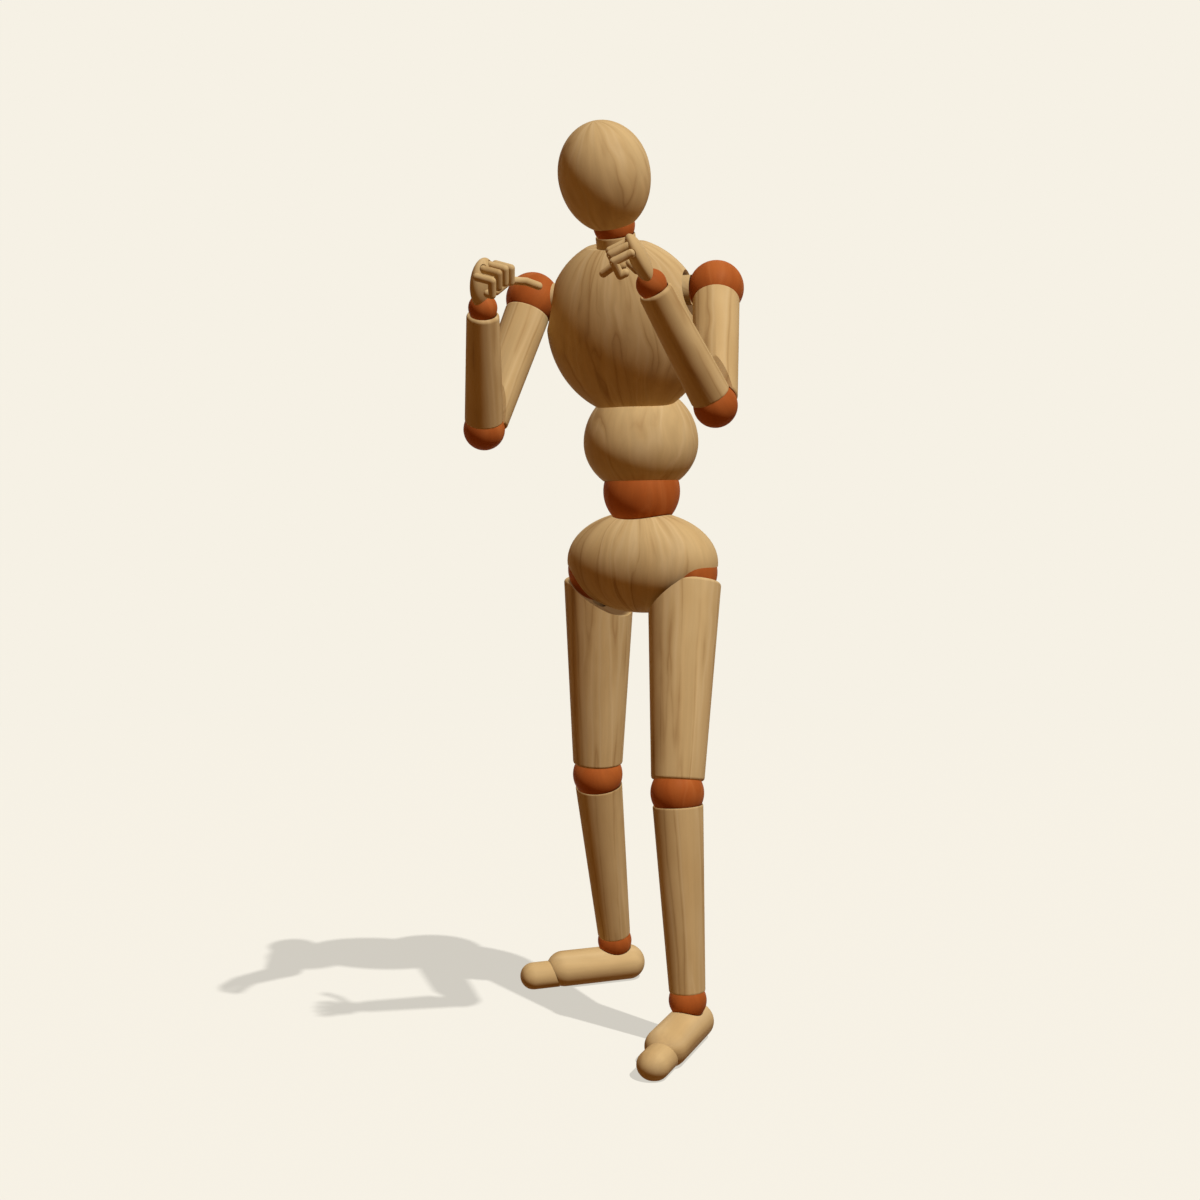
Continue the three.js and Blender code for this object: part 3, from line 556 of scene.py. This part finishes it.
# Finishes
def wood_figure(name, base, darker, dark_line, light_line, line_strength):
    """Wood in millimetres. Its lines run from end to end and close up at a turned piece's poles."""
    group = bpy.data.node_groups.new(name, "ShaderNodeTree")
    ports = (
        ("INPUT", "Place", "Vector"), ("INPUT", "Seed", "Vector"), ("INPUT", "Girth", "Float"),
        ("INPUT", "Turned", "Float"), ("INPUT", "Wander", "Float"),
        ("INPUT", "Line scale", "Vector"), ("INPUT", "Hollow shade", "Float"),
        ("OUTPUT", "Colour", "Color"), ("OUTPUT", "Roughness", "Float"),
        ("OUTPUT", "Height", "Float"),
    )
    for way, port, kind in ports:
        group.interface.new_socket(name=port, in_out=way, socket_type="NodeSocket" + kind)
    given = group.nodes.new("NodeGroupInput").outputs
    result = group.nodes.new("NodeGroupOutput").inputs

    # On a turned piece the place is drawn out from the axis to the girth, so that the lines
    # follow the meridians
    flat = vector_node(group, "MULTIPLY", given["Place"], ACROSS)
    along = vector_node(group, "MULTIPLY", given["Place"], ALONG)
    outward = vector_node(group, "NORMALIZE", flat)
    at_girth = vector_node(group, "SCALE", outward, given["Girth"])
    drawn = vector_node(group, "SUBTRACT", at_girth, flat)
    across = vector_node(group, "ADD", flat, vector_node(group, "SCALE", drawn, given["Turned"]))
    place = vector_node(group, "ADD", across, along)
    place = vector_node(group, "ADD", place, given["Seed"])

    # The lines wander from side to side along the piece
    slow = vector_node(group, "MULTIPLY", place, WANDER_SCALE)
    wander = noise(group, slow, BROAD_DETAIL).outputs["Color"]
    wander = vector_node(group, "SUBTRACT", wander, MIDDLE_OF_NOISE)
    sideways = vector_node(group, "MULTIPLY", wander, ACROSS)
    sideways = vector_node(group, "SCALE", sideways, given["Wander"])
    bent = vector_node(group, "ADD", place, sideways)

    # Dark lines of uneven width and spacing, shown in patches, and paler ones between them
    line_place = vector_node(group, "MULTIPLY", bent, given["Line scale"])
    rings = noise(group, line_place, LINE_DETAIL).outputs["Fac"]
    line = ramp(group, rings, LINE_STOPS)
    pale = ramp(group, rings, PALE_LINE_STOPS)
    patch_place = vector_node(group, "MULTIPLY", bent, PATCH_SCALE)
    patches = noise(group, patch_place, BROAD_DETAIL).outputs["Fac"]
    shown = ramp(group, patches, LINE_SHOWN_STOPS)

    # Broad tone, and fibres that are long and very narrow
    tone = ramp(group, patches, TONE_STOPS)
    fibre_place = vector_node(group, "MULTIPLY", bent, FIBRE_SCALE)
    fibre = noise(group, fibre_place, FIBRE_DETAIL, FIBRE_NOISE_ROUGHNESS).outputs["Fac"]
    colour = mixed(group, tone, base, darker)
    pale_share = math_node(group, "MULTIPLY", pale, PALE_LINE_STRENGTH)
    colour = mixed(group, pale_share, colour, light_line)
    line_share = math_node(group, "MULTIPLY", line, shown)
    line_share = math_node(group, "MULTIPLY", line_share, line_strength)
    colour = mixed(group, line_share, colour, dark_line)
    colour = mixed(group, 1.0, colour, ramp(group, fibre, FIBRE_STOPS), "MULTIPLY")
    # Painted shade: the deeper a spot lies under the skin, the nearer its colour goes to the dark
    # hollow colour
    deep = math_node(group, "MULTIPLY", given["Hollow shade"], HOLLOW_SHADE_STRENGTH)
    feed(group, result["Colour"], mixed(group, deep, colour, HOLLOW_SHADE_COLOUR))

    # The finish is duller over the open grain
    line_rough = math_node(group, "MULTIPLY", line, LINE_ROUGHNESS)
    fibre_rough = math_node(group, "MULTIPLY", fibre, FIBRE_ROUGHNESS)
    rough = math_node(group, "ADD", line_rough, fibre_rough)
    feed(group, result["Roughness"], math_node(group, "ADD", rough, FINISH_ROUGHNESS))
    open_grain = math_node(group, "MULTIPLY", line, LINE_RELIEF)
    raised_grain = math_node(group, "MULTIPLY", fibre, FIBRE_RELIEF)
    feed(group, result["Height"], math_node(group, "SUBTRACT", raised_grain, open_grain))
    return group


FIGURES = {
    "natural_wood": wood_figure(
        "natural_wood", PALE_WOOD, TAN_WOOD, DARK_GRAIN, LIGHT_GRAIN, NATURAL_LINE_STRENGTH
    ),
    "stained_wood": wood_figure(
        "stained_wood", STAIN, STAIN_DEEP, STAIN_DEEP, STAIN_LIGHT, STAINED_LINE_STRENGTH
    ),
}


def seed_of(name):
    """A different part of the wood for each blank, from the letters of its name."""
    number = sum((index + 3) * ord(letter) for index, letter in enumerate(name))
    return (number % 89 * 3.1, number % 83 * 4.3, number % 97 * 11.0)


def wood_material(name, figure, place, girth, length, turned):
    """Wood that starts in a piece's own frame, with lines to suit the piece's shape."""
    if not turned:
        wander, line_scale = LIMB_WANDER, FOOT_LINE_SCALE
    elif length > LIMB_SLENDERNESS * girth:
        wander, line_scale = LIMB_WANDER, LIMB_LINE_SCALE
    else:
        wander, line_scale = EGG_WANDER, EGG_LINE_SCALE

    material = bpy.data.materials.new(name)
    material.use_nodes = True
    tree = material.node_tree
    where = tree.nodes.new("ShaderNodeTexCoord")
    own = tree.nodes.new("ShaderNodeMapping")
    own.vector_type = "TEXTURE"
    own.inputs["Location"].default_value = place.translation
    own.inputs["Rotation"].default_value = place.to_euler("XYZ")
    own.inputs["Scale"].default_value = (MM, MM, MM)
    feed(tree, own.inputs["Vector"], where.outputs["Object"])
    # Depth under the skin, which sets the painted shade in the hollow places
    hollow = tree.nodes.new("ShaderNodeAttribute")
    hollow.attribute_name = "hollow"
    grain = tree.nodes.new("ShaderNodeGroup")
    grain.node_tree = figure
    feed(tree, grain.inputs["Place"], own.outputs["Vector"])
    feed(tree, grain.inputs["Seed"], seed_of(name))
    feed(tree, grain.inputs["Girth"], girth)
    feed(tree, grain.inputs["Turned"], 1.0 if turned else 0.0)
    feed(tree, grain.inputs["Wander"], wander)
    feed(tree, grain.inputs["Line scale"], line_scale)
    feed(tree, grain.inputs["Hollow shade"], hollow.outputs["Fac"])
    bump = tree.nodes.new("ShaderNodeBump")
    feed(tree, bump.inputs["Strength"], BUMP_STRENGTH)
    feed(tree, bump.inputs["Distance"], BUMP_DISTANCE_M)
    feed(tree, bump.inputs["Height"], grain.outputs["Height"])
    shader = tree.nodes["Principled BSDF"]
    feed(tree, shader.inputs["Base Color"], grain.outputs["Colour"])
    feed(tree, shader.inputs["Roughness"], grain.outputs["Roughness"])
    feed(tree, shader.inputs["Normal"], bump.outputs["Normal"])
    feed(tree, shader.inputs["Specular IOR Level"], SHEEN)
    return material


def steel_material(name):
    """Spring wire with a faint oil bloom."""
    material = bpy.data.materials.new(name)
    material.use_nodes = True
    tree = material.node_tree
    where = tree.nodes.new("ShaderNodeTexCoord").outputs["Object"]
    bloom = noise(tree, where, BLOOM_DETAIL, scale=BLOOM_SCALE_PER_M).outputs["Fac"]
    rough = math_node(tree, "MULTIPLY", bloom, BLOOM_ROUGHNESS)
    rough = math_node(tree, "ADD", rough, STEEL_ROUGHNESS)
    shader = tree.nodes["Principled BSDF"]
    feed(tree, shader.inputs["Base Color"], ramp(tree, bloom, BLOOM_STOPS))
    feed(tree, shader.inputs["Roughness"], rough)
    feed(tree, shader.inputs["Metallic"], 1.0)
    return material


def mark_hollow_shade(bm):
    """Notes at each corner how deep it lies under the piece's outer skin, from 0 to 1, which sets
    how much painted shade it gets.
    """
    layer = bm.verts.layers.float.new("hollow")
    skin = bmesh.new()
    for vert in bm.verts:
        skin.verts.new(vert.co)
    hull = bmesh.ops.convex_hull(skin, input=skin.verts)
    off_hull = hull["geom_interior"] + hull["geom_unused"]
    inside = {item for item in off_hull if isinstance(item, bmesh.types.BMVert)}
    bmesh.ops.delete(skin, geom=list(inside), context="VERTS")
    tree = BVHTree.FromBMesh(skin)
    for vert in bm.verts:
        depth = tree.find_nearest(vert.co)[3]
        vert[layer] = min(1, max(0, (depth - SKIN_DEPTH) / HOLLOW_DEPTH))
    skin.free()


# Putting a finished piece on its body
def show(node, bm, place, slot="natural_wood", body=None, shade_hollows=True, lying_at=None):
    """Finishes a piece. Its body is named as the piece is, unless given. A piece that isn't turned
    lies along Y at a height, and its grain does too."""
    if body is None:
        body = node
    turned = lying_at is None
    girth = max(abs(vert.co.x) for vert in bm.verts)
    heights = [vert.co.z if turned else vert.co.y for vert in bm.verts]
    length = max(heights) - min(heights)
    grain_place = place
    if not turned:
        grain_place = raised(place, lying_at) @ Matrix.Rotation(math.pi / 2, 4, "X")
    # The hollow places get painted shade, darker the deeper they lie
    if shade_hollows:
        mark_hollow_shade(bm)
    bm.transform(place @ Matrix.Scale(MM, 4))
    limit = math.radians(SHARP_DEGREES)
    for face in bm.faces:
        face.smooth = True
    for edge in bm.edges:
        edge.smooth = len(edge.link_faces) != 2 or edge.calc_face_angle(0) < limit
    item = loose(bm, node + "_piece")
    if slot == "steel":
        material = steel_material(node + "_wire")
    else:
        figure = FIGURES[slot]
        material = wood_material(node + "_grain", figure, grain_place, girth, length, turned)
    item.data.materials.append(material)
    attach(item, body)
    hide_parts(node)


def show_ball(node, radius, place, body=None):
    show(node, drilled_ball(radius), place, "stained_wood", body)


def show_spring(part, name, sizes, place):
    """The spring between the two balls of a limb."""
    top_ball, end_ball = sizes["balls"]
    bottom = -sizes["length"] + end_ball + 2 * BALL_CLEARANCE
    top = -top_ball - 2 * BALL_CLEARANCE - sizes.get("spring_drop", 0)
    show(f"{part}_spring_{name}", coil(bottom, top), place, "steel", f"{part}_{name}")


# Torso and head
def make_pelvis():
    place = placed(pivot("waist_turn"), x=axis("hip_swing_left"), z=axis("waist_turn"))
    place = raised(place, -WAIST_ABOVE_PELVIS)
    cutters = [sphere(WAIST_BALL_RADIUS + BALL_CLEARANCE, (0, 0, WAIST_ABOVE_PELVIS))]
    for side in SIDES.values():
        hip = (side * HIP_SPAN / 2, 0, -HIP_BELOW_PELVIS)
        cutters.append(sphere(HIP_BALL_RADIUS + BALL_CLEARANCE, hip))
    bore = turned_over(rod(BORE_RADIUS, -HIP_SPAN / 2, HIP_SPAN / 2), 90, "Y")
    cutters.append(shifted(bore, (0, 0, -HIP_BELOW_PELVIS)))
    show("pelvis", carved(egg(PELVIS_HALF), cutters), place)
    reach = HIP_SPAN / 2 - HIP_BALL_RADIUS - 2 * BALL_CLEARANCE
    spring = shifted(turned_over(coil(-reach, reach), 90, "Y"), (0, 0, -HIP_BELOW_PELVIS))
    show("hip_spring", spring, place, "steel", "pelvis")


def make_waist():
    ball_place = placed(pivot("waist_turn"), y=axis("waist_side"), z=axis("waist_turn"))
    show_ball("waist_ball", WAIST_BALL_RADIUS, ball_place)
    place = placed(pivot("chest_lean"), x=axis("chest_lean"), y=axis("waist_side"))
    abdomen = egg((ABDOMEN_RADIUS, ABDOMEN_RADIUS, ABDOMEN_RADIUS), ABDOMEN_LOWER_REACH)
    seat = sphere(WAIST_BALL_RADIUS + BALL_CLEARANCE, (0, 0, -ABDOMEN_ABOVE_WAIST))
    bore = rod(BORE_RADIUS, -ABDOMEN_LOWER_REACH, ABDOMEN_RADIUS + CUT_PAST)
    show("abdomen", carved(abdomen, [seat, bore]), place)


def make_chest():
    place = placed(pivot("chest_lean"), x=axis("chest_lean"), z=axis("neck_turn"))
    place = raised(place, CHEST_ABOVE_ABDOMEN)
    neck_bottom = NECK_BALL_ABOVE_CHEST - NECK_TOP_BELOW_BALL - NECK_LENGTH
    past = CHEST_HALF[2] + CUT_PAST
    cutters = [
        sphere(ABDOMEN_RADIUS + BALL_CLEARANCE, (0, 0, -CHEST_ABOVE_ABDOMEN)),
        rod(NECK_RADIUS + SEAT_CLEARANCE, neck_bottom - SEAT_CLEARANCE, past),
        rod(BORE_RADIUS, -past, CHEST_HALF[2]),
    ]
    shoulder = SHOULDER_SPAN / 2
    stub_inner = shoulder - SHOULDER_BALL_RADIUS * STUB_START_FRACTION - STUB_LENGTH
    pocket_radius = SHOULDER_BALL_RADIUS + SHOULDER_POCKET_CLEARANCE
    for side in SIDES.values():
        cutters.append(sphere(pocket_radius, (side * shoulder, 0, SHOULDER_ABOVE_CHEST)))
        hole = rod(STUB_RADIUS + SEAT_CLEARANCE, stub_inner - SEAT_CLEARANCE, shoulder)
        cutters.append(shifted(turned_over(hole, 90 * side, "Y"), (0, 0, SHOULDER_ABOVE_CHEST)))
    chest = cut_off(egg(CHEST_HALF), CHEST_TOP_REACH, (0, 0, 1))
    show("chest", carved(chest, cutters), place)
    spring_bottom = ABDOMEN_RADIUS - CHEST_ABOVE_ABDOMEN + 2 * BALL_CLEARANCE
    spring = coil(spring_bottom, neck_bottom - 2 * SEAT_CLEARANCE)
    show("chest_spring", spring, place, "steel", "chest")


def make_head():
    neck_place = placed(pivot("neck_turn"), x=axis("head_nod"), z=axis("neck_turn"))
    bottom = -NECK_TOP_BELOW_BALL - NECK_LENGTH
    corner = (NECK_RADIUS - NECK_ROUNDING, bottom + NECK_ROUNDING)
    profile = cup_end(NECK_RADIUS, NECK_BALL_RADIUS, NECK_TOP_BELOW_BALL)
    profile += arc(corner, NECK_ROUNDING, 0, -90, NECK_ROUNDING_STEPS)
    profile += [(BORE_RADIUS, bottom)]
    show("neck", spun(profile, closed=True), neck_place)
    ball_place = placed(pivot("neck_turn"), x=axis("head_nod"), y=axis("head_tilt"))
    show_ball("neck_ball", NECK_BALL_RADIUS, ball_place)
    head_place = ball_place @ Matrix.Rotation(math.radians(HEAD_TILT), 4, "Y")
    head = egg(HEAD_HALF, HEAD_CHIN_REACH, (0, 0, HEAD_ABOVE_NECK_BALL))
    show("head", carved(head, [sphere(NECK_BALL_RADIUS + BALL_CLEARANCE)]), head_place)


# Arms and hands
def make_arm(name, side):
    shoulder = pivot(f"shoulder_swing_{name}")
    raise_axis, twist_axis = axis(f"shoulder_raise_{name}"), axis(f"arm_twist_{name}")
    elbow_axis = axis(f"elbow_bend_{name}")

    stub_place = placed(shoulder, x=axis(f"shoulder_swing_{name}"), y=raise_axis)
    inner = -SHOULDER_BALL_RADIUS * STUB_START_FRACTION - STUB_LENGTH
    profile = [
        (0, inner), (STUB_RADIUS - STUB_CHAMFER, inner),
        (STUB_RADIUS, inner + STUB_CHAMFER), (STUB_RADIUS, 0), (0, 0),
    ]
    cup = sphere(SHOULDER_BALL_RADIUS + BALL_CLEARANCE)
    stub = carved(turned_over(spun(profile), 90 * side, "Y"), [cup])
    show(f"shoulder_stub_{name}", stub, stub_place)
    ball_place = placed(shoulder, y=raise_axis, z=twist_axis)
    show_ball(f"shoulder_ball_{name}", SHOULDER_BALL_RADIUS, ball_place)

    fold = (180 - ELBOW_CLOSED) / 2
    place = placed(shoulder, x=elbow_axis, z=twist_axis)
    upper_arm = folded(limb(UPPER_ARM), -UPPER_ARM["length"], 180 + fold)
    show(f"upper_arm_{name}", upper_arm, place)
    show_spring("upper_arm", name, UPPER_ARM, place)

    place = placed(pivot(f"elbow_bend_{name}"), x=elbow_axis, z=axis(f"hand_turn_{name}"))
    show_ball(f"elbow_ball_{name}", ELBOW_BALL_RADIUS, place, f"forearm_{name}")
    show(f"forearm_{name}", folded(limb(FOREARM), 0, 180 - fold), place)
    show_spring("forearm", name, FOREARM, place)


def finger_points(side):
    inward = Vector((-side, 0, 0))
    points = [Vector((0, 0, 0)), inward * FINGER_BONES[0]]
    points.append(points[1] + Vector((0, 0, FINGER_BONES[1])))
    points.append(points[2] - inward * FINGER_BONES[2])
    return points


def thumb_points(side):
    points = [Vector((0, 0, 0))]
    for (inward, across, along), length in zip(THUMB_DIRECTIONS, THUMB_BONES):
        direction = Vector((-side * inward, across, along)).normalized()
        points.append(points[-1] + direction * length)
    return points


def make_hand(name, side):
    wrist, turn_axis = pivot(f"hand_turn_{name}"), axis(f"hand_turn_{name}")
    wrist_place = placed(wrist, y=axis(f"hand_bend_{name}"), z=turn_axis)
    show_ball(f"wrist_ball_{name}", WRIST_BALL_RADIUS, wrist_place)
    bend = math.radians(side * HAND_BEND[name])
    palm_place = wrist_place @ Matrix.Rotation(bend, 4, "Y")
    into_palm = palm_place.inverted()
    cutters = [sphere(WRIST_BALL_RADIUS + BALL_CLEARANCE)]
    for finger in FINGERS:
        if finger == "thumb":
            node, points, radius = f"thumb_{name}", thumb_points(side), THUMB_RADIUS
        else:
            node, points, radius = f"{finger}_finger_{name}", finger_points(side), FINGER_RADIUS
        knuckle = pivot(f"{finger}_knuckle_{name}")
        cutters.append(sphere(radius + BALL_CLEARANCE, (into_palm @ knuckle) / MM))
        place = palm_place.copy()
        place.translation = knuckle
        show(node, bones(points, radius), place, shade_hollows=False)
    palm = egg(PALM_HALF, at=(0, 0, -PALM_BELOW_WRIST))
    show(f"palm_{name}", carved(palm, cutters), palm_place)


# Legs and feet
def lying(radius, length, width, heel, height):
    """A round-ended blank lying along Y, from its heel forwards."""
    bm = spun(arc((0, 0), radius, -90, 0) + arc((0, length), radius, 0, 90))
    turned_over(bm, 90, "X")
    bmesh.ops.scale(bm, verts=bm.verts, vec=(width / (2 * radius), 1, 1))
    return shifted(bm, (0, heel, height))


def foot_blank(grow):
    height = FOOT_RADIUS - SOLE_FLAT_DEPTH - ANKLE_HEIGHT
    width = FOOT_WIDTH + 2 * grow
    return lying(FOOT_RADIUS + grow, FOOT_AXIS_LENGTH, width, HEEL_BEHIND_ANKLE, height)


def foot():
    blank = cut_off(foot_blank(0), -ANKLE_HEIGHT, (0, 0, -1))
    return carved(blank, [sphere(ANKLE_BALL_RADIUS + BALL_CLEARANCE)])


def toe():
    height = TOE_RADIUS - SOLE_FLAT_DEPTH - ANKLE_HEIGHT
    start = HEEL_BEHIND_ANKLE - FOOT_AXIS_LENGTH
    blank = lying(TOE_RADIUS, TOE_AHEAD, TOE_WIDTH, start, height)
    blank = cut_off(blank, -ANKLE_HEIGHT, (0, 0, -1))
    return carved(blank, [foot_blank(SEAT_CLEARANCE)])


def thigh(side):
    """The thigh, scooped where it passes the pelvis."""
    half = [size + PELVIS_CLEARANCE for size in PELVIS_HALF]
    passing = []
    for swing, spread in THIGH_SWEEP:
        pelvis = egg(half, at=(-side * HIP_SPAN / 2, 0, HIP_BELOW_PELVIS))
        passing.append(turned_over(turned_over(pelvis, swing, "X"), side * spread, "Y"))
    return carved(limb(THIGH), passing)


def make_leg(name, side):
    hip, swing_axis = pivot(f"hip_swing_{name}"), axis(f"hip_swing_{name}")
    spread_axis, knee_axis = axis(f"hip_spread_{name}"), axis(f"knee_bend_{name}")
    show_ball(f"hip_ball_{name}", HIP_BALL_RADIUS, placed(hip, x=swing_axis, y=spread_axis))
    place = placed(hip, x=knee_axis, y=spread_axis)
    show(f"thigh_{name}", thigh(side), place)
    show_spring("thigh", name, THIGH, place)

    knee, turn_axis = pivot(f"knee_bend_{name}"), axis(f"shin_turn_{name}")
    show_ball(f"knee_ball_{name}", KNEE_BALL_RADIUS, placed(knee, x=knee_axis, z=turn_axis))
    pitch_axis, roll_axis = axis(f"ankle_pitch_{name}"), axis(f"ankle_roll_{name}")
    place = placed(knee, x=pitch_axis, z=turn_axis)
    show(f"shin_{name}", limb(SHIN), place)
    show_spring("shin", name, SHIN, place)

    ankle = pivot(f"ankle_pitch_{name}")
    show_ball(f"ankle_ball_{name}", ANKLE_BALL_RADIUS, placed(ankle, x=pitch_axis, y=roll_axis))
    place = placed(ankle, y=roll_axis, z=Vector((0, 0, 1)))
    middle = FOOT_RADIUS - ANKLE_HEIGHT
    show(f"foot_{name}", foot(), place, lying_at=middle)
    show(f"toe_{name}", toe(), place, body=f"foot_{name}", lying_at=middle)


# Floor, light and camera
def floor_material():
    """A pale floor that is as bright as the backdrop where it is lit, and sends out fill light."""
    material = bpy.data.materials.new("pale_floor")
    material.use_nodes = True
    tree = material.node_tree
    tree.nodes.clear()
    where = tree.nodes.new("ShaderNodeTexCoord").outputs["Object"]
    near = ramp(tree, vector_node(tree, "LENGTH", where), FLOOR_NEAR_STOPS_M)
    less_glow = math_node(tree, "MULTIPLY", near, 1 - FLOOR_SHADE)
    strength = math_node(tree, "SUBTRACT", 1.0, less_glow)
    glow = shining(tree, "ShaderNodeEmission", BACKDROP, strength)
    upright = Vector(FLOOR_KEY_FROM).normalized().z
    lit_level = (1 - FLOOR_SHADE) * math.pi / (FLOOR_KEY_STRENGTH * upright)
    lit = matt(tree, tuple(lit_level * value for value in BACKDROP))
    catch = mixed_shaders(tree, near, matt(tree, (0, 0, 0)), lit)
    both = tree.nodes.new("ShaderNodeAddShader")
    feed(tree, both.inputs[0], glow)
    feed(tree, both.inputs[1], catch)
    bounce = shining(tree, "ShaderNodeEmission", FILL_COLOUR, FILL_STRENGTH)
    output = tree.nodes.new("ShaderNodeOutputMaterial")
    surface = mixed_shaders(tree, seen(tree), bounce, both.outputs[0])
    feed(tree, output.inputs["Surface"], surface)
    return material


def make_floor():
    bm = bmesh.new()
    bmesh.ops.create_circle(bm, cap_ends=True, segments=FLOOR_SIDES, radius=FLOOR_RADIUS_M)
    floor = loose(bm, "floor")
    floor.data.materials.append(floor_material())
    return floor


def make_world():
    """The pale backdrop, which lights the object with the fill light only."""
    world = bpy.data.worlds.new("studio")
    bpy.context.scene.world = world
    world.use_nodes = True
    tree = world.node_tree
    tree.nodes.clear()
    backdrop = shining(tree, "ShaderNodeBackground", BACKDROP, 1.0)
    fill = shining(tree, "ShaderNodeBackground", FILL_COLOUR, FILL_STRENGTH)
    output = tree.nodes.new("ShaderNodeOutputWorld")
    surface = mixed_shaders(tree, seen(tree), fill, backdrop)
    feed(tree, output.inputs["Surface"], surface)


def near_light(name, level, size, place):
    """A soft round light near the object, equally strong at every distance. With this energy and
    a constant falloff, a level of 1 lights as a sun with a strength of pi does."""
    light = bpy.data.lights.new(name, "POINT")
    light.energy = level * 4 * math.pi * math.pi
    light.shadow_soft_size = size * MM
    light.use_nodes = True
    tree = light.node_tree
    even = tree.nodes.new("ShaderNodeLightFalloff")
    feed(tree, even.inputs["Strength"], 1.0)
    feed(tree, tree.nodes["Emission"].inputs["Strength"], even.outputs["Constant"])
    lamp = bpy.data.objects.new(name, light)
    lamp.location = floor_point() + Vector(place) * MM
    bpy.context.scene.collection.objects.link(lamp)
    return lamp


def sun(name, strength, softness, source):
    light = bpy.data.lights.new(name, "SUN")
    light.energy = strength
    light.angle = math.radians(softness)
    lamp = bpy.data.objects.new(name, light)
    lamp.rotation_euler = Vector(source).to_track_quat("Z", "Y").to_euler()
    bpy.context.scene.collection.objects.link(lamp)
    return lamp


def make_lights(floor):
    """A key light that throws no shadow on the object, and a key of the floor's own."""
    floor_only = bpy.data.collections.new("floor_only")
    floor_only.objects.link(floor)
    all_but_floor = bpy.data.collections.new("all_but_floor")
    all_but_floor.objects.link(floor)
    all_but_floor.collection_objects[0].light_linking.link_state = "EXCLUDE"
    key = near_light("key_light", KEY_LEVEL, KEY_SIZE, KEY_AT)
    key.light_linking.blocker_collection = floor_only
    key.light_linking.receiver_collection = all_but_floor
    floor_key = sun("floor_key_light", FLOOR_KEY_STRENGTH, FLOOR_KEY_SOFTNESS, FLOOR_KEY_FROM)
    floor_key.light_linking.receiver_collection = floor_only


def make_camera():
    """The photograph's view."""
    data = bpy.data.cameras.new("view")
    data.angle = math.radians(CAMERA_ANGLE)
    camera = bpy.data.objects.new("view", data)
    camera.location = floor_point() + Vector(CAMERA_AT) * MM
    look = floor_point() + Vector(CAMERA_TARGET) * MM - camera.location
    camera.rotation_euler = look.to_track_quat("-Z", "Y").to_euler()
    bpy.context.scene.collection.objects.link(camera)
    bpy.context.scene.camera = camera


make_pelvis()
make_waist()
make_chest()
make_head()
for name, side in SIDES.items():
    make_arm(name, side)
    make_hand(name, side)
    make_leg(name, side)
make_world()
make_lights(make_floor())
make_camera()
bpy.context.scene.view_settings.view_transform = "Standard"
